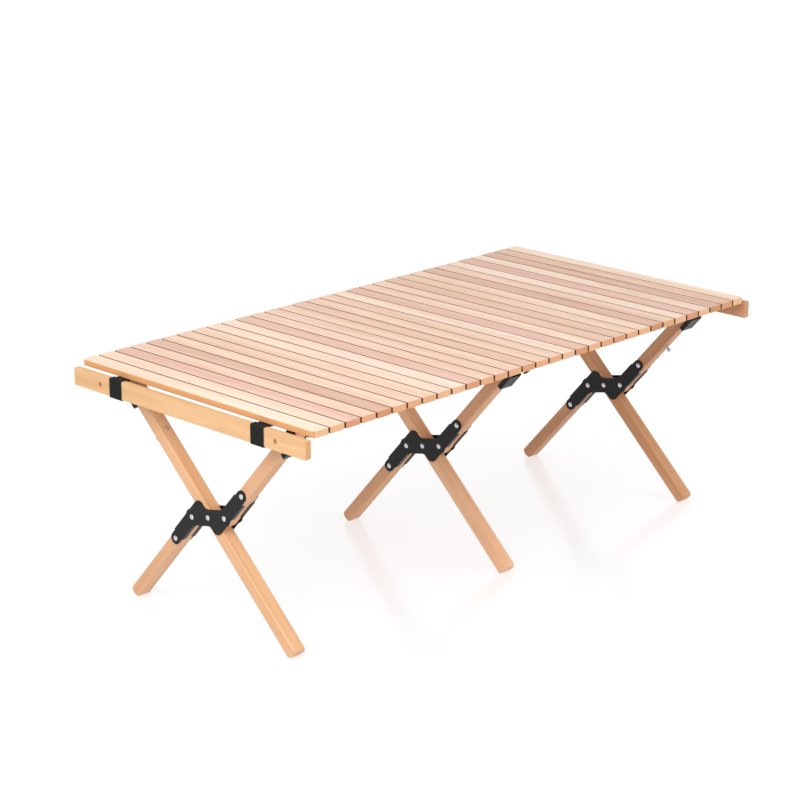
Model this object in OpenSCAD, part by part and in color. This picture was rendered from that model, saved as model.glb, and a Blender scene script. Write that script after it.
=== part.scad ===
// Folding picnic table with a roll-up slatted top.
// X runs along the table, Y across it, Z up. The origin is on the floor under the centre of the top.
// The near end is at -X. The left side is at +Y and the right side is at -Y.

/* [Top] */
// Length of the top along X
top_length = 1212; // [1000:4:1240]
// Length of each slat along Y
top_width = 610; // [580:10:700]
// Height of the top's upper face above the floor
top_height = 450; // [430:5:480]
// Number of slats
slat_count = 32; // [24:1:36]
// Gap between neighbouring slats
slat_gap = 3; // [2:0.5:4]
// Thickness of a slat
slat_t = 12; // [10:1:15]
// Radius of the four outer corners of the top
corner_r = 8; // [4:1:12]

/* [Webbing] */
// Width of a webbing strap
strap_w = 32; // [25:1:38]
// Thickness of a webbing strap
strap_t = 1.6; // [1.2:0.1:2]
// Distance of each strap's centre line from the table's centre line
strap_y = 187; // [170:1:188]

/* [End boards] */
// Height of an end board
board_h = 34.5; // [30:0.5:38]
// Thickness of an end board
board_t = 12; // [10:1:14]
// Clear distance between the end slat and the end board
board_gap = 6; // [5:1:10]

/* [Legs] */
// Width of a leg in the plane of its cross
leg_w = 24; // [20:1:24]
// Thickness of a leg along X
leg_t = 28; // [24:1:30]
// Distance along X from the middle frame to an end frame
frame_pitch = 560; // [420:1:570]
// Height of the crossing pivot above the floor
cross_z = 210; // [200:1:220]
// Height of the bolts at the leg tops above the floor
bolt_z = 420; // [416:1:422]
// Radius of the rounded lower corners of a leg
foot_r = 9; // [3:1:11]

/* [Cross plates] */
// Sideways offset of each half of a split leg from the crossing pivot
leg_offset = 26.4; // [26:0.1:28]
// Distance along the leg from the crossing pivot to the inner rivets
rivet_in = 35.7; // [34:0.1:38]
// Distance along the leg from the crossing pivot to the outer rivets
rivet_out = 106.3; // [100:0.1:112]
// Thickness of a cross plate
plate_t = 2; // [1.5:0.1:2.2]

/* [Rails] */
// Width of a rail
rail_w = 22; // [20:1:22]
// Height of a rail
rail_h = 26; // [22:1:26]
// Distance of each rail's centre line from the table's centre line
rail_y = 218; // [216:1:222]
// Distance along X from the middle frame to the rail pivots beside it
mid_pivot = 62; // [58:1:74]
// Distance along X from an end frame to the rail pivots beside it
end_pivot = 46; // [44:1:60]

/* [Hidden] */
$fn = 48;
eps = 0.01;
// Top
pitch = top_length / slat_count;
slat_w = pitch - slat_gap;
under_z = top_height - slat_t;
edge_r = 1.5;
inner_corner_r = 2;
half_top = top_length / 2;
// Webbing, which wraps the end boards with a little slack
wrap_slack = 0.1;
// End boards: where the middle of one lies, and the seats of its screws
board_x = half_top + board_gap + board_t / 2;
board_z = under_z - board_h / 2;
seat_y = 231;
seat_r = 4.5;
seat_depth = 1.2;
// Legs: the straight leg runs between the cross plates, so it is a little thinner
leg_a_t = leg_t - 0.6;
leg_edge_r = 3;
split_start = 15;
bolt_rise = bolt_z - cross_z;
bolt_reach = norm([rail_y, bolt_rise]);
angle_a = atan2(bolt_rise, rail_y);
angle_b = angle_a + asin(leg_offset / bolt_reach);
bolt_u_b = sqrt(bolt_reach * bolt_reach - leg_offset * leg_offset);
// Rivets and pins, and the clearance of those that turn in wood
rivet_r = 3;
rivet_head_r = 5;
rivet_head_h = 2;
turn_gap = 0.08;
// Cross plates: end lobes, arms and the short flanges that grip the split legs
lobe_r = 11.5;
arm_half = 13.4;
middle_half = 15.5;
ear_u = 6;
ear_blend_r = 12;
arm_blend_r = 30;
flange_in = 48;
flange_out = 94;
flange_d = 8;
flange_t = 1.4;
// Rails lie just under the slats
rail_top = under_z - 0.2;
rail_z = rail_top - rail_h / 2;
rail_gap = 0.3;
rail_past = 14;
// Leg-top shoes, fixed to the legs, and rail brackets, bolted through the legs. The webs of a
// bracket stand between web_in and web_out from the middle of its frame.
shoe_t = 2;
shoe_len = 50;
shoe_back = 36;
shoe_proud = 8;
shoe_lap = 1.5;
bolt_r = 3;
bolt_head_r = 5.5;
bolt_head_h = 2.4;
web_gap = 0.2;
web_t = 2;
web_h = 30;
cheek_end_r = 8;
web_in = leg_t / 2 + shoe_t + web_gap;
web_out = web_in + web_t;
pin_r = 3;
pin_head_r = 5;
pin_head_h = 2;
// Strap studs: through the leg, with a waisted knob outside
stud_u = 184;
stud_r = 2.5;
knob_reach = 13;

// Each frame's name, its place along X, and whether its straight and split legs carry strap studs
FRAMES = [
    ["near", -frame_pitch, true, false],
    ["mid", 0, false, false],
    ["far", frame_pitch, false, true]
];
function two(i) = str(i < 10 ? "0" : "", i);

slat_wood = [0.91, 0.72, 0.58];
leg_wood = [0.90, 0.70, 0.50];
black_steel = [0.09, 0.09, 0.10];
bright_steel = [0.75, 0.75, 0.77];
webbing = [0.11, 0.11, 0.12];

// A rectangle centred on the origin, with true arcs at its corners
module rounded_rect(w, h, r) {
    square([w - 2 * r, h], center = true);
    square([w, h - 2 * r], center = true);
    for (x = [-1, 1], y = [-1, 1])
        translate([x * (w / 2 - r), y * (h / 2 - r)]) circle(r);
}

// Turns a shape drawn in Y and Z, and extruded upwards, so that it runs along X
module along_x() {
    multmatrix([[0, 0, 1, 0], [1, 0, 0, 0], [0, 1, 0, 0], [0, 0, 0, 1]]) children();
}

// Turns a shape drawn in X and Z, and extruded upwards, so that it runs along Y
module along_y() {
    multmatrix([[1, 0, 0, 0], [0, 0, 1, 0], [0, 1, 0, 0], [0, 0, 0, 1]]) children();
}

// The plane of a leg: U runs up the leg, V across it on the side away from the floor
module leg_plane(side, angle, x, t) {
    s = side;
    ca = cos(angle);
    sa = sin(angle);
    translate([x, 0, cross_z])
        multmatrix([[0, 0, 1, 0], [s * ca, -s * sa, 0, 0], [sa, ca, 0, 0], [0, 0, 0, 1]])
            linear_extrude(t, center = true) children();
}

// ---- Top ----

// Outline of one slat in plan; the end slats have larger outer corners
module slat_plan(i) {
    low_r = i == 1 ? corner_r : inner_corner_r;
    high_r = i == slat_count ? corner_r : inner_corner_r;
    square([slat_w - 2 * max(low_r, high_r), top_width], center = true);
    for (side = [-1, 1]) {
        r = side < 0 ? low_r : high_r;
        big = max(low_r, high_r);
        translate([side * (slat_w / 2 - big / 2 - r / 2), 0])
            square([big - r + 2 * eps, top_width], center = true);
        translate([side * (slat_w / 2 - r), 0]) square([2 * r, top_width - 2 * r], center = true);
        for (end = [-1, 1])
            translate([side * (slat_w / 2 - r), end * (top_width / 2 - r)]) circle(r);
    }
}

module slat(i) {
    x = -half_top + (i - 0.5) * pitch;
    color(slat_wood)
    translate([x, 0, top_height - slat_t / 2])
        intersection() {
            linear_extrude(slat_t, center = true) slat_plan(i);
            along_y() linear_extrude(top_width, center = true) rounded_rect(slat_w, slat_t, edge_r);
        }
}

// An end board, with a shallow seat for a screw head outboard of each strap
module end_board(end) {
    color(leg_wood)
    difference() {
        translate([end * board_x, 0, board_z])
            intersection() {
                along_y() linear_extrude(top_width, center = true)
                    rounded_rect(board_t, board_h, edge_r);
                along_x() linear_extrude(board_t, center = true)
                    rounded_rect(top_width, board_h, edge_r * 2);
            }
        for (side = [-1, 1])
            translate([end * (board_x + board_t / 2), side * seat_y, board_z])
                rotate([0, 90, 0]) cylinder(r = seat_r, h = 2 * seat_depth, center = true);
    }
}

// Side view of a strap: the run under the slats, and a loop round each end board
module strap_profile() {
    loop_w = board_t + 2 * (wrap_slack + strap_t);
    loop_h = board_h + 2 * (wrap_slack + strap_t);
    difference() {
        union() {
            translate([-board_x, under_z - strap_t]) square([2 * board_x, strap_t]);
            for (end = [-1, 1])
                translate([end * board_x, board_z])
                    rounded_rect(loop_w, loop_h, edge_r + wrap_slack + strap_t);
        }
        for (end = [-1, 1])
            translate([end * board_x, board_z])
                rounded_rect(loop_w - 2 * strap_t, loop_h - 2 * strap_t, edge_r + wrap_slack);
    }
}

module webbing_straps() {
    color(webbing)
    for (side = [-1, 1])
        translate([0, side * strap_y, 0])
            along_y() linear_extrude(strap_w, center = true) strap_profile();
}

// ---- Legs ----

// How far down a leg its end lies when the rounded end just meets the floor.
// off is the leg's offset from the crossing pivot, away from the floor side.
function foot_reach(angle, off) =
    foot_r + (cross_z - foot_r + (off - (leg_w / 2 - foot_r)) * cos(angle)) / sin(angle);

// Side outline of a leg from its low end u0 up to u1; a top end is round about its bolt
module leg_side(u0, u1, off, round_top) {
    top = round_top ? leg_w / 2 : foot_r;
    translate([(u0 + u1) / 2, off]) rounded_rect(u1 - u0, leg_w, foot_r);
    if (round_top) {
        translate([u1, off]) circle(top);
        translate([u1 - top, off]) square([2 * top, leg_w], center = true);
    }
}

// A leg with rounded long edges, in the plane of its cross
module leg_solid(side, angle, x, off, u0, u1, t, round_top) {
    extra = round_top ? leg_w / 2 : 0;
    intersection() {
        leg_plane(side, angle, x, t)
            difference() {
                leg_side(u0, u1, off, round_top);
                if (round_top)
                    translate([u1, off])
                        difference() {
                            square([leg_w, leg_w + 2]);
                            circle(leg_w / 2);
                        }
                if (round_top)
                    translate([u1, off])
                        mirror([0, 1])
                            difference() {
                                square([leg_w, leg_w + 2]);
                                circle(leg_w / 2);
                            }
            }
        translate([x, 0, cross_z])
            multmatrix([
                [1, 0, 0, 0],
                [0, -side * sin(angle), side * cos(angle), 0],
                [0, cos(angle), sin(angle), 0],
                [0, 0, 0, 1]
            ])
                translate([0, off, u0])
                    linear_extrude(u1 - u0 + extra) rounded_rect(t, leg_w, leg_edge_r);
    }
}

// A bore through the plane of a leg
module leg_bore(side, angle, x, u, v, r) {
    leg_plane(side, angle, x, leg_t + 20) translate([u, v]) circle(r);
}

module straight_leg(i) {
    x = FRAMES[i][1];
    color(leg_wood)
    difference() {
        leg_solid(1, angle_a, x, 0, -foot_reach(angle_a, 0), bolt_reach, leg_a_t, true);
        leg_bore(1, angle_a, x, 0, 0, rivet_r + turn_gap);
        leg_bore(1, angle_a, x, bolt_reach, 0, bolt_r + turn_gap);
        if (FRAMES[i][2]) stud_bore(1, angle_a, x, 0);
    }
}

module split_leg(i) {
    x = FRAMES[i][1];
    color(leg_wood) {
        difference() {
            leg_solid(-1, angle_b, x, -leg_offset, split_start, bolt_u_b, leg_t, true);
            for (u = [rivet_in, rivet_out]) leg_bore(-1, angle_b, x, u, -leg_offset, rivet_r);
            leg_bore(-1, angle_b, x, bolt_u_b, -leg_offset, bolt_r + turn_gap);
            if (FRAMES[i][3]) stud_bore(-1, angle_b, x, -leg_offset);
        }
        difference() {
            leg_solid(
                -1, angle_b, x, leg_offset,
                -foot_reach(angle_b, leg_offset), -split_start, leg_t, false
            );
            for (u = [rivet_in, rivet_out]) leg_bore(-1, angle_b, x, -u, leg_offset, rivet_r);
        }
    }
}

// ---- Crossing ----

RIVETS = [
    [0, 0],
    [rivet_in, -leg_offset],
    [rivet_out, -leg_offset],
    [-rivet_in, leg_offset],
    [-rivet_out, leg_offset]
];

// A bar with round ends between two points
module round_bar(a, b, r) {
    d = b - a;
    translate(a) circle(r);
    translate(b) circle(r);
    translate((a + b) / 2) rotate(atan2(d[1], d[0])) square([norm(d), 2 * r], center = true);
}

// One arm of the zigzag: a lobe at the outer rivet, the part that carries the flanges, and an
// ear that covers the inner end of the leg
module plate_arm(s) {
    v = -s * leg_offset;
    round_bar([s * rivet_in, v], [s * rivet_out, v], lobe_r);
    translate([s * (flange_in + flange_out) / 2, v])
        square([flange_out - flange_in, leg_w + 2 * flange_t], center = true);
    translate([s * (rivet_in + flange_in) / 2, v])
        square([flange_in - rivet_in, 2 * arm_half], center = true);
    round_bar([s * ear_u, v], [s * rivet_in, v], arm_half);
}

// Fills the hollow between a blend circle and the solid beside it
module blend(centre, r, points) {
    difference() {
        polygon(points);
        translate(centre) circle(r);
    }
}

// The concave blend from an ear into the middle bar, drawn with the bar along X
module ear_blend() {
    tilt = atan2(leg_offset, rivet_in);
    ear = [
        ear_u * cos(tilt) + leg_offset * sin(tilt),
        ear_u * sin(tilt) - leg_offset * cos(tilt)
    ];
    y = -middle_half - ear_blend_r;
    reach = ear_blend_r + arm_half;
    x = ear[0] - sqrt(reach * reach - (ear[1] - y) * (ear[1] - y));
    rotate(-tilt) blend([x, y], ear_blend_r, [[x, 0], [x, y], ear, [ear[0], 0]]);
}

// The concave blend from the middle bar into the inner side of an arm
module arm_blend() {
    tilt = atan2(leg_offset, rivet_in);
    v = arm_half - leg_offset;
    along = (middle_half * cos(tilt) - v) / sin(tilt);
    corner = [middle_half * sin(tilt) + along * cos(tilt), v];
    reach = arm_blend_r * tan(tilt / 2);
    centre = corner + [reach, arm_blend_r];
    blend(centre, arm_blend_r, [
        corner + [reach, 0],
        centre,
        corner + reach * [-cos(tilt), sin(tilt)],
        [rivet_in, -leg_offset]
    ]);
}

module plate_outline() {
    difference() {
        union() {
            plate_arm(1);
            plate_arm(-1);
            round_bar([-rivet_in, leg_offset], [rivet_in, -leg_offset], middle_half);
            for (turn = [0, 180])
                rotate(turn) {
                    ear_blend();
                    arm_blend();
                }
        }
        for (p = RIVETS) translate(p) circle(rivet_r);
    }
}

// The flanges of one plate, which fold inwards over the sides of the split legs
module plate_flanges(x, face) {
    for (s = [-1, 1], edge = [-1, 1])
        leg_plane(-1, angle_b, x + face * (leg_t / 2 + plate_t / 2 - flange_d / 2), flange_d)
            translate([
                s * (flange_in + flange_out) / 2,
                -s * leg_offset + edge * (leg_w + flange_t) / 2
            ])
                square([flange_out - flange_in - 4, flange_t], center = true);
}

// One cross plate with its flanges
module cross_plate(x, face) {
    union() {
        leg_plane(-1, angle_b, x + face * (leg_t + plate_t) / 2, plate_t) plate_outline();
        plate_flanges(x, face);
    }
}

// The two cross plates of a frame, with the shoe and any strap stud of its split leg
module cross_plates(i) {
    x = FRAMES[i][1];
    color(black_steel) {
        for (face = [-1, 1]) cross_plate(x, face);
        shoe(-1, angle_b, x, -leg_offset, bolt_u_b, leg_t);
        if (FRAMES[i][3]) strap_stud(-1, angle_b, x, -leg_offset);
    }
}

// A domed head of radius r and height h, standing on the plane z = 0
module dome(r, h) {
    ball = (r * r + h * h) / (2 * h);
    intersection() {
        translate([0, 0, h - ball]) sphere(ball);
        cylinder(r = r + eps, h = h);
    }
}

module rivets(i) {
    x = FRAMES[i][1];
    reach = leg_t / 2 + plate_t;
    color(bright_steel)
    for (p = RIVETS)
        translate([x, 0, cross_z])
            multmatrix([
                [0, 0, 1, 0],
                [-cos(angle_b), sin(angle_b), 0, 0],
                [sin(angle_b), cos(angle_b), 0, 0],
                [0, 0, 0, 1]
            ])
                translate([p[0], p[1], 0]) {
                    cylinder(r = rivet_r, h = 2 * reach, center = true);
                    translate([0, 0, reach]) dome(rivet_head_r, rivet_head_h);
                    mirror([0, 0, 1]) translate([0, 0, reach]) dome(rivet_head_r, rivet_head_h);
                }
}

// ---- Leg tops ----

// A channel that stands on the outer face of a leg of thickness t, with cheeks up to its bolt
module shoe(side, angle, x, off, top, t) {
    low = top - shoe_len;
    outer = off - leg_w / 2;
    union() {
        leg_plane(side, angle, x, t + shoe_t)
            translate([low + 0.5, outer - shoe_proud + 0.3]) square([shoe_back - 1, shoe_t]);
        for (face = [-1, 1])
            leg_plane(side, angle, x + face * (t + shoe_t) / 2, shoe_t)
                difference() {
                    union() {
                        polygon([
                            [low, outer - shoe_proud],
                            [low, outer + shoe_lap],
                            [top - 16, outer + shoe_lap],
                            [top - 3, off + 5],
                            [top + 2, off],
                            [top, off - 6],
                            [low + shoe_back, outer - shoe_proud]
                        ]);
                        translate([top, off]) circle(leg_w / 2 - 1.6);
                    }
                    translate([top, off]) circle(bolt_r + turn_gap);
                }
    }
}

// One web beside the leg, with the bolt's hole
module web(side, x, dir) {
    translate([x + dir * (web_in + web_t / 2), side * rail_y, under_z - 0.4 - web_h / 2])
        along_x() linear_extrude(web_t, center = true)
            difference() {
                rounded_rect(rail_w + 2 * (rail_gap + shoe_t), web_h, 4);
                translate([0, bolt_z - (under_z - 0.4 - web_h / 2)]) circle(bolt_r);
            }
}

// The two cheeks that hold the end of a rail, deep beside the leg and tapering to the pin
module cheeks(side, x, dir, pivot, drop) {
    top = under_z - 0.4;
    for (edge = [-1, 1])
        translate([x, side * rail_y + edge * (rail_w / 2 + rail_gap + shoe_t / 2), 0])
            along_y() linear_extrude(shoe_t, center = true)
                difference() {
                    union() {
                        polygon([
                            [dir * web_in, top],
                            [dir * web_in, top - drop],
                            [dir * (web_in + 8), top - drop],
                            [dir * pivot, rail_z - cheek_end_r],
                            [dir * pivot, top]
                        ]);
                        translate([dir * pivot, rail_z]) circle(cheek_end_r);
                        translate([dir * pivot, (rail_z + top) / 2])
                            square([2 * cheek_end_r, top - rail_z], center = true);
                    }
                    translate([dir * pivot, rail_z]) circle(pin_r);
                }
}

// A pin along Y through a rail, with a domed head at each end
module rail_pin(side, x) {
    reach = rail_w / 2 + rail_gap + shoe_t;
    translate([x, side * rail_y, rail_z])
        rotate([90, 0, 0]) {
            cylinder(r = pin_r, h = 2 * reach, center = true);
            translate([0, 0, reach]) dome(pin_head_r, pin_head_h);
            mirror([0, 0, 1]) translate([0, 0, reach]) dome(pin_head_r, pin_head_h);
        }
}

// The bolt along X through a leg top, which the leg turns on
module leg_bolt(side, x, dirs) {
    low = min(dirs) < 0 ? -web_out : -web_in;
    high = max(dirs) > 0 ? web_out : web_in;
    translate([x, side * rail_y, bolt_z])
        rotate([0, 90, 0]) {
            translate([0, 0, low]) cylinder(r = bolt_r, h = high - low);
            translate([0, 0, high]) dome(bolt_head_r, bolt_head_h);
            translate([0, 0, low]) mirror([0, 0, 1]) dome(bolt_head_r, bolt_head_h);
        }
}

// Places children on a leg's side-to-side axis at stud_u, pointing outwards
module at_stud(side, angle, x, off) {
    translate([x, side * (stud_u * cos(angle) - off * sin(angle)),
               cross_z + stud_u * sin(angle) + off * cos(angle)])
        rotate([side * (180 + angle), 0, 0]) children();
}

module stud_bore(side, angle, x, off) {
    at_stud(side, angle, x, off) cylinder(r = stud_r, h = 3 * leg_w, center = true);
}

// A stud right through the leg: a flat head inside and a waisted knob outside
module strap_stud(side, angle, x, off) {
    at_stud(side, angle, x, off) {
        translate([0, 0, -leg_w / 2]) cylinder(r = stud_r, h = leg_w + knob_reach);
        translate([0, 0, -leg_w / 2 - 1.5]) cylinder(r1 = 4.2, r2 = 4.8, h = 1.5);
        translate([0, 0, leg_w / 2]) cylinder(r = 4.6, h = 1.6);
        translate([0, 0, leg_w / 2 + knob_reach - 6]) cylinder(r1 = stud_r, r2 = 5.2, h = 4.5);
        translate([0, 0, leg_w / 2 + knob_reach - 1.5]) cylinder(r1 = 5.2, r2 = 4.4, h = 1.5);
    }
}

// Directions along X in which a frame carries rails, and how far off their pins lie
function rail_dirs(i) = i == 0 ? [1] : i == 2 ? [-1] : [-1, 1];
function pivot_at(i) = i == 1 ? mid_pivot : end_pivot;
function drop_at(i) = i == 1 ? 38 : 26;

module bracket(i, side) {
    x = FRAMES[i][1];
    color(black_steel) {
        for (d = rail_dirs(i))
            union() {
                web(side, x, d);
                cheeks(side, x, d, pivot_at(i), drop_at(i));
            }
        for (d = rail_dirs(i)) rail_pin(side, x + d * pivot_at(i));
        leg_bolt(side, x, rail_dirs(i));
    }
}

// The shoe and any strap stud of a straight leg
module straight_shoe(i) {
    x = FRAMES[i][1];
    color(black_steel) {
        shoe(1, angle_a, x, 0, bolt_reach, leg_a_t);
        if (FRAMES[i][2]) strap_stud(1, angle_a, x, 0);
    }
}

// ---- Rails ----

module rail(side, dir) {
    inner = mid_pivot;
    outer = frame_pitch - end_pivot;
    length = outer - inner + 2 * rail_past;
    color(leg_wood)
    translate([dir * (inner + outer) / 2, side * rail_y, rail_z])
        difference() {
            intersection() {
                along_y() linear_extrude(rail_w, center = true)
                    rounded_rect(length, rail_h, 4);
                rotate([0, 90, 0]) linear_extrude(length, center = true)
                    rounded_rect(rail_h, rail_w, leg_edge_r);
            }
            for (end = [-1, 1])
                translate([end * (outer - inner) / 2, 0, 0])
                    rotate([90, 0, 0]) cylinder(r = pin_r, h = rail_w + 2, center = true);
        }
}

// ---- Nodes ----

for (i = [1 : slat_count])
    slat(i);
end_board(-1);  // near_end_board
end_board(1);  // far_end_board
webbing_straps();
for (i = [0 : 2]) {
    name = FRAMES[i][0];
    straight_leg(i);
    straight_shoe(i);
    split_leg(i);
    cross_plates(i);
    rivets(i);
    bracket(i, 1);
    bracket(i, -1);
}
rail(1, -1);  // left_near_rail
rail(1, 1);  // left_far_rail
rail(-1, -1);  // right_near_rail
rail(-1, 1);  // right_far_rail
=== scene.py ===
import math
import random

import bmesh
import bpy
from mathutils import Matrix, Vector


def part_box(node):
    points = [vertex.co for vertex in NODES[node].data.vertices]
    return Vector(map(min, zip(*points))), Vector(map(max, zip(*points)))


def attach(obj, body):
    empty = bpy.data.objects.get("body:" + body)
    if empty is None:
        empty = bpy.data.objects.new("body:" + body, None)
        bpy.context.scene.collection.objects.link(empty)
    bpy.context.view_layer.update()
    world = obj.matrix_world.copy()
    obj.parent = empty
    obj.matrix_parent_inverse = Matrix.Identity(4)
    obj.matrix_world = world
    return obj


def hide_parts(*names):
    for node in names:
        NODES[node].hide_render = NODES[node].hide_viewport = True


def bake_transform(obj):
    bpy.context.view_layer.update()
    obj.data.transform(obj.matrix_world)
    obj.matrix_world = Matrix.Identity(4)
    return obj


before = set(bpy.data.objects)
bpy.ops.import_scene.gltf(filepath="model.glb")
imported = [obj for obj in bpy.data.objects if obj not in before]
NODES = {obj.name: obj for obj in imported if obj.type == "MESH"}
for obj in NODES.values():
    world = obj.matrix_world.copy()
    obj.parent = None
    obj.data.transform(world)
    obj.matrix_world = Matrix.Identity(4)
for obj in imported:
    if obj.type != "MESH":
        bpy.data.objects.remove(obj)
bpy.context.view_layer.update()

random.seed(98)
SLATS = 32

# Legs, in metres: the crossing pivot's height, the top bolts' place measured from it, and how far the
# line of each half of a split leg passes from it
CROSS_Z = 0.21
BOLT_RISE = 0.21
BOLT_OUT = 0.218
LEG_OFFSET = 0.0264
SLOPE_STRAIGHT = math.atan2(BOLT_RISE, BOLT_OUT)
SLOPE_SPLIT = SLOPE_STRAIGHT + math.asin(LEG_OFFSET / math.hypot(BOLT_RISE, BOLT_OUT))
# The stretch of a leg, measured from the crossing pivot, where a black node has only its stud's faces
STUD_ZONE = (0.17, 0.2)


# ---- Shader helpers ----

def new_material(name):
    """A material, its node tree and its shader."""
    m = bpy.data.materials.new(name)
    m.use_nodes = True
    tree = m.node_tree
    return m, tree, tree.nodes["Principled BSDF"]


def add(tree, kind, **values):
    """A new shader node with the given properties."""
    n = tree.nodes.new(kind)
    for k, v in values.items():
        setattr(n, k, v)
    return n


def mapping(tree, vector, field, value):
    """A vector after one Mapping step: field is Rotation or Scale."""
    n = add(tree, "ShaderNodeMapping")
    n.inputs[field].default_value = value
    tree.links.new(vector, n.inputs["Vector"])
    return n.outputs["Vector"]


def noise(tree, vector, scale, detail, distortion=0.0):
    """A noise value, mostly between 0.3 and 0.7."""
    n = add(tree, "ShaderNodeTexNoise")
    n.inputs["Scale"].default_value = scale
    n.inputs["Detail"].default_value = detail
    n.inputs["Distortion"].default_value = distortion
    tree.links.new(vector, n.inputs["Vector"])
    return n.outputs["Fac"]


def magnitude(tree, value):
    """A value without its sign."""
    n = add(tree, "ShaderNodeMath", operation="ABSOLUTE")
    tree.links.new(value, n.inputs[0])
    return n.outputs["Value"]


def bump(tree, shader, height, strength, distance):
    """Give a shader the relief of a height value."""
    n = add(tree, "ShaderNodeBump")
    n.inputs["Strength"].default_value = strength
    n.inputs["Distance"].default_value = distance
    tree.links.new(height, n.inputs["Height"])
    tree.links.new(n.outputs["Normal"], shader.inputs["Normal"])


def mix(tree, factor, a, b):
    """A mix of two colours, each a socket or a value."""
    n = add(tree, "ShaderNodeMix", data_type="RGBA")
    for socket, value in (("Factor", factor), ("A", a), ("B", b)):
        target = [s for s in n.inputs if s.name == socket and s.enabled][0]
        if isinstance(value, bpy.types.NodeSocket):
            tree.links.new(value, target)
        else:
            target.default_value = value
    return [s for s in n.outputs if s.enabled][0]


def ramp(tree, value, low, high, a=0.0, b=1.0):
    """A value taken from the range low to high onto the range a to b."""
    n = add(tree, "ShaderNodeMapRange")
    tree.links.new(value, n.inputs["Value"])
    n.inputs["From Min"].default_value = low
    n.inputs["From Max"].default_value = high
    n.inputs["To Min"].default_value = a
    n.inputs["To Max"].default_value = b
    return n.outputs["Result"]


def rgb(r, g, b):
    """An sRGB colour, 0 to 255, as a linear one."""
    def linear(c):
        c /= 255.0
        return c / 12.92 if c <= 0.04045 else ((c + 0.055) / 1.055) ** 2.4
    return (linear(r), linear(g), linear(b), 1.0)


# How finely the grain is drawn across the piece, along it and through it
STREAK_SCALE = (60.0, 3.0, 60.0)
PORE_SCALE = (700.0, 26.0, 700.0)


def wood(name, face, streak, side, end, rotation=(0, 0, 0), outer=None):
    """Plain-sawn beech, with long streaks, short pores and darker end grain.

    The rotation turns the piece's grain onto Y. Where side isn't None, it is the colour of the faces
    that look along X, which for the slats is painted shade in the gaps between them. Where outer is
    given, it is the sign of X and the colour of one of them.
    """
    m, tree, shader = new_material(name)
    source = add(tree, "ShaderNodeTexCoord")
    turned = mapping(tree, source.outputs["Object"], "Rotation", rotation)
    broad = noise(tree, mapping(tree, turned, "Scale", STREAK_SCALE), 1.0, 5.0, 0.4)
    pores = noise(tree, mapping(tree, turned, "Scale", PORE_SCALE), 1.0, 2.0)
    base = mix(tree, ramp(tree, broad, 0.35, 0.72), face, streak)
    base = mix(tree, ramp(tree, pores, 0.58, 0.74, 0.0, 0.35), base, streak)
    # Sides and end grain are told apart by the piece's own normals
    split = add(tree, "ShaderNodeSeparateXYZ")
    tree.links.new(mapping(tree, source.outputs["Normal"], "Rotation", rotation), split.inputs["Vector"])
    # The faces that look along X take the side colour, painted shade for the slats' sides in their gaps
    if side is not None:
        upright = magnitude(tree, split.outputs["Z"])
        base = mix(tree, ramp(tree, upright, 0.35, 0.9, 1.0, 0.0), base, side)
    if outer is not None:
        sign, colour = outer
        base = mix(tree, ramp(tree, split.outputs["X"], 0.35 * sign, 0.9 * sign), base, colour)
    base = mix(tree, ramp(tree, magnitude(tree, split.outputs["Y"]), 0.6, 0.95), base, end)
    tree.links.new(base, shader.inputs["Base Color"])
    tree.links.new(ramp(tree, broad, 0.3, 0.8, 0.44, 0.58), shader.inputs["Roughness"])
    bump(tree, shader, pores, 0.12, 0.0004)
    shader.inputs["Specular IOR Level"].default_value = 0.35
    return m


def webbing_material():
    """Flat woven polyester: ribs along the strap, fine picks across it."""
    m, tree, shader = new_material("webbing")
    source = add(tree, "ShaderNodeTexCoord")
    weave = add(tree, "ShaderNodeMath", operation="MULTIPLY")
    for k, (axis, scale) in enumerate((("Y", 110.0), ("X", 260.0))):
        w = add(tree, "ShaderNodeTexWave", wave_type="BANDS", bands_direction=axis)
        w.inputs["Scale"].default_value = scale
        w.inputs["Distortion"].default_value = 0.3
        tree.links.new(source.outputs["Object"], w.inputs["Vector"])
        tree.links.new(w.outputs["Fac"], weave.inputs[k])
    woven = weave.outputs["Value"]
    tree.links.new(mix(tree, woven, rgb(12, 12, 13), rgb(34, 34, 36)), shader.inputs["Base Color"])
    shader.inputs["Roughness"].default_value = 0.8
    shader.inputs["Specular IOR Level"].default_value = 0.25
    bump(tree, shader, woven, 0.5, 0.0003)
    return m


def metal(name, colour, rough, metallic, grain, specular=0.5):
    """Painted or bare steel with a faint unevenness in its finish."""
    m, tree, shader = new_material(name)
    source = add(tree, "ShaderNodeTexCoord")
    uneven = noise(tree, source.outputs["Object"], grain, 3.0)
    shader.inputs["Base Color"].default_value = colour
    shader.inputs["Metallic"].default_value = metallic
    shader.inputs["Specular IOR Level"].default_value = specular
    tree.links.new(ramp(tree, uneven, 0.3, 0.7, rough - 0.06, rough + 0.08), shader.inputs["Roughness"])
    bump(tree, shader, uneven, 0.08, 0.0002)
    return m


# ---- Materials ----

# Tints of the slats, which are dealt out at random, and how much darker their streaks and ends are
FACES = [
    (228, 197, 176), (222, 188, 166), (234, 207, 186), (212, 176, 156), (230, 200, 177),
    (220, 183, 166), (236, 211, 193),
]
STREAK_DROP = (14, 20, 24)
END_DROP = (24, 46, 64)
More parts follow.
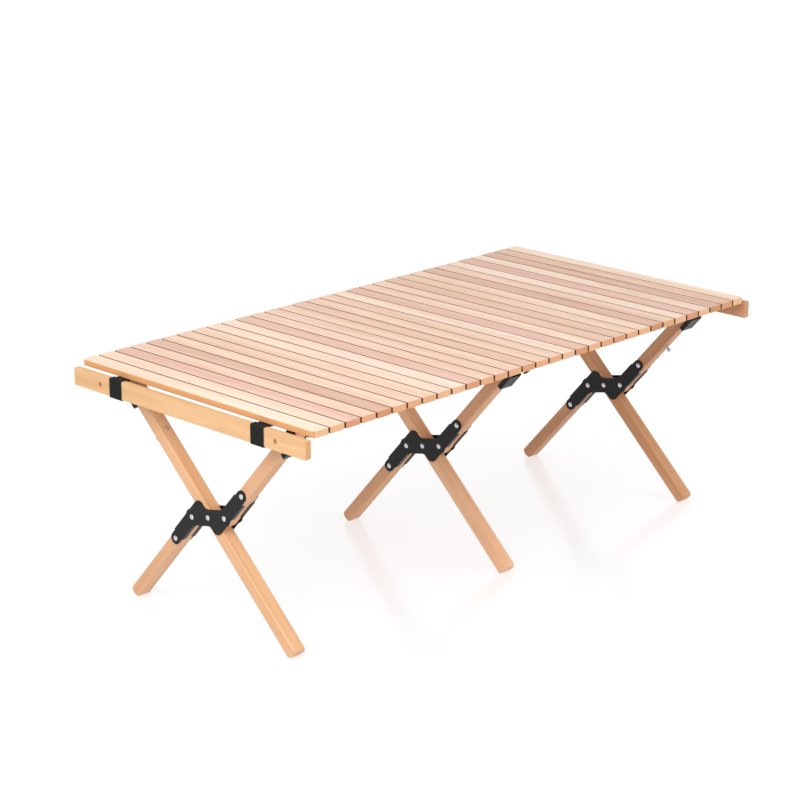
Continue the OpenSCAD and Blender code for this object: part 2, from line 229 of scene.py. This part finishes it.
# The sides of the slats, which are seen only in the gaps between them, in a dark brown that is painted
# shade for the gaps
GAP_SHADE = rgb(92, 46, 28)
slat_woods = []
for i, face in enumerate(FACES):
    streak = tuple(c - d for c, d in zip(face, STREAK_DROP))
    end = tuple(c - d for c, d in zip(face, END_DROP))
    slat_woods.append(wood(f"slat_wood_{i + 1}", rgb(*face), rgb(*streak), GAP_SHADE, rgb(*end)))
edge_woods = {
    slat: wood(
        f"{slat}_wood", rgb(236, 211, 190), rgb(224, 190, 166), GAP_SHADE, rgb(212, 168, 126),
        outer=(direction, rgb(208, 152, 102)),
    )
    for slat, direction in (("slat_01", -1), ("slat_32", 1))
}
board_woods = {
    "near_end_board": wood(
        "near_board_wood", rgb(212, 171, 126), rgb(198, 152, 105), None, rgb(196, 146, 98)
    ),
    # The far board is painted darker and browner than the near one: painted shade, as its face towards
    # the table lies in shade
    "far_end_board": wood(
        "far_board_shaded_wood", rgb(204, 156, 118), rgb(188, 136, 98), None, rgb(188, 138, 100)
    ),
}
# Face and streak of each leg: the near legs are paler than the far ones. Each leg's colour is the wood's
# tone with painted shade worked in, darkest on the far legs in the shade under the table
LEG_TONES_AND_SHADE = {
    "near_straight_leg": ((214, 170, 130), (198, 148, 104)),
    "near_split_leg": ((208, 162, 126), (194, 144, 103)),
    "mid_straight_leg": ((222, 177, 140), (206, 155, 116)),
    "mid_split_leg": ((204, 157, 119), (188, 136, 96)),
    "far_straight_leg": ((197, 147, 107), (180, 126, 84)),
    "far_split_leg": ((192, 143, 108), (174, 120, 84)),
}
leg_shaded_woods = {}
for leg, (face, streak) in LEG_TONES_AND_SHADE.items():
    slope = SLOPE_SPLIT if "split" in leg else -SLOPE_STRAIGHT
    leg_shaded_woods[leg] = wood(
        f"{leg}_wood", rgb(*face), rgb(*streak), None, rgb(*(c - 10 for c in face)),
        rotation=(slope, 0, 0),
    )
rail_wood = wood(
    "rail_wood", rgb(214, 166, 122), rgb(198, 142, 98), None, rgb(196, 142, 98),
    rotation=(0, 0, math.pi / 2),
)
webbing = webbing_material()
black = metal("black_steel", rgb(8, 8, 9), 0.36, 0.0, 900.0, specular=0.24)
bright = metal("bright_steel", rgb(205, 206, 210), 0.26, 1.0, 600.0)
screw_steel = metal("screw_steel", rgb(184, 124, 80), 0.4, 0.5, 500.0)


def paint(obj, material):
    """Give an object one material."""
    obj.data.materials.clear()
    obj.data.materials.append(material)


# Neighbouring slats never share a tint
slat_wood = None
for name, obj in sorted(NODES.items()):
    if name in edge_woods:
        paint(obj, edge_woods[name])
    elif name.startswith("slat_"):
        slat_wood = random.choice([w for w in slat_woods if w is not slat_wood])
        paint(obj, slat_wood)
    elif name in board_woods:
        paint(obj, board_woods[name])
    elif name in leg_shaded_woods:
        paint(obj, leg_shaded_woods[name])
    elif name.endswith("rail"):
        paint(obj, rail_wood)
    elif name.endswith("rivets"):
        paint(obj, bright)
    elif name == "webbing_straps":
        paint(obj, webbing)
    else:
        paint(obj, black)


def brighten_stud(obj, side, slope):
    """Make the strap stud in a black node bare steel. Its faces lie by themselves along the leg."""
    obj.data.materials.append(bright)
    for face in obj.data.polygons:
        centre = obj.matrix_world @ face.center
        along = side * centre.y * math.cos(slope) + (centre.z - CROSS_Z) * math.sin(slope)
        if STUD_ZONE[0] < along < STUD_ZONE[1]:
            face.material_index = 1


brighten_stud(NODES["near_straight_shoe"], 1, SLOPE_STRAIGHT)
brighten_stud(NODES["far_cross_plates"], -1, SLOPE_SPLIT)


# ---- Pieces ----

def mesh_object(name, build, material):
    """An object whose mesh the function build draws, in one material and one slot."""
    mesh = bpy.data.meshes.new(name)
    b = bmesh.new()
    build(b)
    bmesh.ops.recalc_face_normals(b, faces=b.faces)
    b.to_mesh(mesh)
    b.free()
    obj = bpy.data.objects.new(name, mesh)
    bpy.context.scene.collection.objects.link(obj)
    mesh.materials.append(material)
    return obj


def ribbon(b, path, y, width, thick, closed=False):
    """A flat strap along a path of (x, z) points, with its thickness on the path's left."""
    rows = []
    count = len(path)
    for i, (x, z) in enumerate(path):
        before = path[i - 1] if closed or i > 0 else path[i]
        after = path[(i + 1) % count] if closed or i < count - 1 else path[i]
        t = (Vector(after) - Vector(before)).normalized()
        n = Vector((-t.y, t.x)) * thick
        rows.append([
            b.verts.new((x, y - width / 2, z)), b.verts.new((x, y + width / 2, z)),
            b.verts.new((x + n.x, y + width / 2, z + n.y)),
            b.verts.new((x + n.x, y - width / 2, z + n.y)),
        ])
    following = rows[1:] + rows[:1] if closed else rows[1:]
    for r, s in zip(rows, following):
        for k in range(4):
            b.faces.new((r[k], r[(k + 1) % 4], s[(k + 1) % 4], s[k]))
    if not closed:
        b.faces.new(rows[0])
        b.faces.new(list(reversed(rows[-1])))


# The level of the slats' lower faces, half the top's length with half a gap added, and the slats' pitch
slat_low, slat_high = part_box("slat_16")
UNDER = slat_low[2]
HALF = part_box("slat_32")[1][0] + (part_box("slat_17")[0][0] - slat_high[0]) / 2
PITCH = 2 * HALF / SLATS
STRAP_W = 0.032
STRAP_T = 0.0016
STRAP_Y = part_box("webbing_straps")[1][1] - STRAP_W / 2
# The run under the slats is a hair thinner, so that it doesn't lie in the slats' lower faces
RUN_T = STRAP_T - 0.00005
# Half the length of webbing that bends at a gap, and the distance between its cross-sections there
FLEX = 0.004
FLEX_STEP = 0.001

for i in range(1, SLATS):
    gap = -HALF + i * PITCH

    def build(b, gap=gap):
        bend = [gap + FLEX_STEP * k for k in range(-3, 4)]
        steps = [gap - PITCH / 2, gap - FLEX] + bend + [gap + FLEX, gap + PITCH / 2]
        for s in (-1, 1):
            ribbon(b, [(x, UNDER - STRAP_T) for x in steps], s * STRAP_Y, STRAP_W, RUN_T)

    piece = mesh_object(f"webbing_span_{i:02d}", build, webbing)
    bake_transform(piece)
    if i == 1:
        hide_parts("webbing_straps")


# Straight pieces in a quarter turn of the webbing
CORNER_STEPS = 6


def rounded_loop(x, z, w, h, r):
    """Points round a rectangle with rounded corners, clockwise from the right of its top edge."""
    points = []
    for cx, cz, start in (
        (x + w / 2 - r, z + h / 2 - r, 90), (x + w / 2 - r, z - h / 2 + r, 0),
        (x - w / 2 + r, z - h / 2 + r, -90), (x - w / 2 + r, z + h / 2 - r, -180),
    ):
        for k in range(CORNER_STEPS + 1):
            a = math.radians(start - 90 * k / CORNER_STEPS)
            points.append((cx + r * math.cos(a), cz + r * math.sin(a)))
    return points


# How the webbing lies round an end board: its clearance, and the inner radius of its corners
WRAP_SLACK = 0.0001
WRAP_R = 0.0016


def loop(name, board, end, body):
    """The webbing round one end board, and the run from it to the middle of the end slat."""
    low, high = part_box(board)
    x = (low[0] + high[0]) / 2
    z = (low[2] + high[2]) / 2
    w = high[0] - low[0] + 2 * WRAP_SLACK
    h = high[2] - low[2] + 2 * WRAP_SLACK
    inner = low[0] if end > 0 else high[0]
    run = sorted([end * (HALF - PITCH / 2), inner])

    def build(b):
        for s in (-1, 1):
            ribbon(b, rounded_loop(x, z, w, h, WRAP_R), s * STRAP_Y, STRAP_W, STRAP_T, closed=True)
            ribbon(b, [(v, UNDER - STRAP_T) for v in run], s * STRAP_Y, STRAP_W, RUN_T)

    piece = mesh_object(name, build, webbing)
    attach(piece, body)


loop("near_webbing_loop", "near_end_board", -1, "slat_01_body")
loop("far_webbing_loop", "far_end_board", 1, "slat_32_body")


# A screw head's outline, as radii and heights above the board's face: the rim of its countersink,
# its crown and the edge of its recess
SCREW_PROFILE = [
    (0.0044, -0.0009), (0.0042, -0.0002), (0.0030, 0.0002), (0.0018, 0.0002), (0.0016, -0.0008),
]
SCREW_SIDES = 24
SCREW_Y = 0.231


def screw(name, x, y, z, out, body):
    """A countersunk screw head with a recess, seated in an end board and facing out along X."""
    def build(b):
        rings = [
            [
                b.verts.new((
                    x + out * h,
                    y + r * math.cos(math.tau * k / SCREW_SIDES),
                    z + r * math.sin(math.tau * k / SCREW_SIDES),
                ))
                for k in range(SCREW_SIDES)
            ]
            for r, h in SCREW_PROFILE
        ]
        for r, t in zip(rings, rings[1:]):
            for k in range(SCREW_SIDES):
                after = (k + 1) % SCREW_SIDES
                b.faces.new((r[k], r[after], t[after], t[k]))
        b.faces.new(rings[-1])
        b.faces.new(list(reversed(rings[0])))

    piece = mesh_object(name, build, screw_steel)
    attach(piece, body)


for board, end, body in (
    ("near_end_board", -1, "slat_01_body"), ("far_end_board", 1, "slat_32_body"),
):
    low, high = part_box(board)
    face = low[0] if end < 0 else high[0]
    middle = (low[2] + high[2]) / 2
    for s, hand in ((-1, "right"), (1, "left")):
        screw(f"{board}_screw_{hand}", face, s * SCREW_Y, middle, end, body)


# ---- Room ----

# The floor lies a hair below the feet, and glows a little so that shadows on it stay faint
FLOOR_HALF = 30
FLOOR_Z = -0.0002
floor_material, _, floor_shader = new_material("floor")
floor_shader.inputs["Base Color"].default_value = (0.34, 0.34, 0.36, 1)
floor_shader.inputs["Emission Color"].default_value = (1, 1, 1, 1)
floor_shader.inputs["Emission Strength"].default_value = 0.6
floor_shader.inputs["Roughness"].default_value = 0.2
floor_shader.inputs["Specular IOR Level"].default_value = 0.5
floor_mesh = bpy.data.meshes.new("floor")
b = bmesh.new()
bmesh.ops.create_grid(b, x_segments=1, y_segments=1, size=FLOOR_HALF)
b.to_mesh(floor_mesh)
b.free()
floor_mesh.materials.append(floor_material)
floor = bpy.data.objects.new("floor", floor_mesh)
floor.location = (0, 0, FLOOR_Z)
bpy.context.scene.collection.objects.link(floor)

world = bpy.data.worlds.new("studio")
bpy.context.scene.world = world
world.use_nodes = True
background = world.node_tree.nodes["Background"]
background.inputs["Color"].default_value = (1, 1, 1, 1)
background.inputs["Strength"].default_value = 0.9
bpy.context.scene.view_settings.view_transform = "Standard"

# What both lamps point at, and how wide they are
LAMP_TARGET = Vector((0, 0, 0.2))
LAMP_SIZE = 2.0


def lamp(name, place, power):
    """A round soft lamp."""
    light = bpy.data.lights.new(name, "AREA")
    light.shape = "DISK"
    light.size = LAMP_SIZE
    light.energy = power
    obj = bpy.data.objects.new(name, light)
    obj.location = place
    obj.rotation_euler = (LAMP_TARGET - Vector(place)).to_track_quat("-Z", "Y").to_euler()
    bpy.context.scene.collection.objects.link(obj)


lamp("key_light", (-2.3, -0.9, 2.1), 54)
lamp("fill_light", (1.0, -4.0, 0.8), 36)

# ---- Camera ----

# Where the camera stands, in metres, and how it is turned, in degrees: its heading from +X, its dip
# below the horizon and its roll
CAMERA_PLACE = (-3.196, -2.984, 1.691)
HEADING = math.radians(43.75)
DIP = math.radians(17.64)
ROLL = math.radians(0.22)

camera_data = bpy.data.cameras.new("camera")
camera_data.lens = 106.05
camera_data.sensor_width = 36
camera = bpy.data.objects.new("camera", camera_data)
bpy.context.scene.collection.objects.link(camera)
aim = Vector((
    math.cos(DIP) * math.cos(HEADING), math.cos(DIP) * math.sin(HEADING), -math.sin(DIP),
))
camera.matrix_world = (
    Matrix.Translation(CAMERA_PLACE)
    @ aim.to_track_quat("-Z", "Y").to_matrix().to_4x4()
    @ Matrix.Rotation(ROLL, 4, "Z")
)
bpy.context.scene.camera = camera
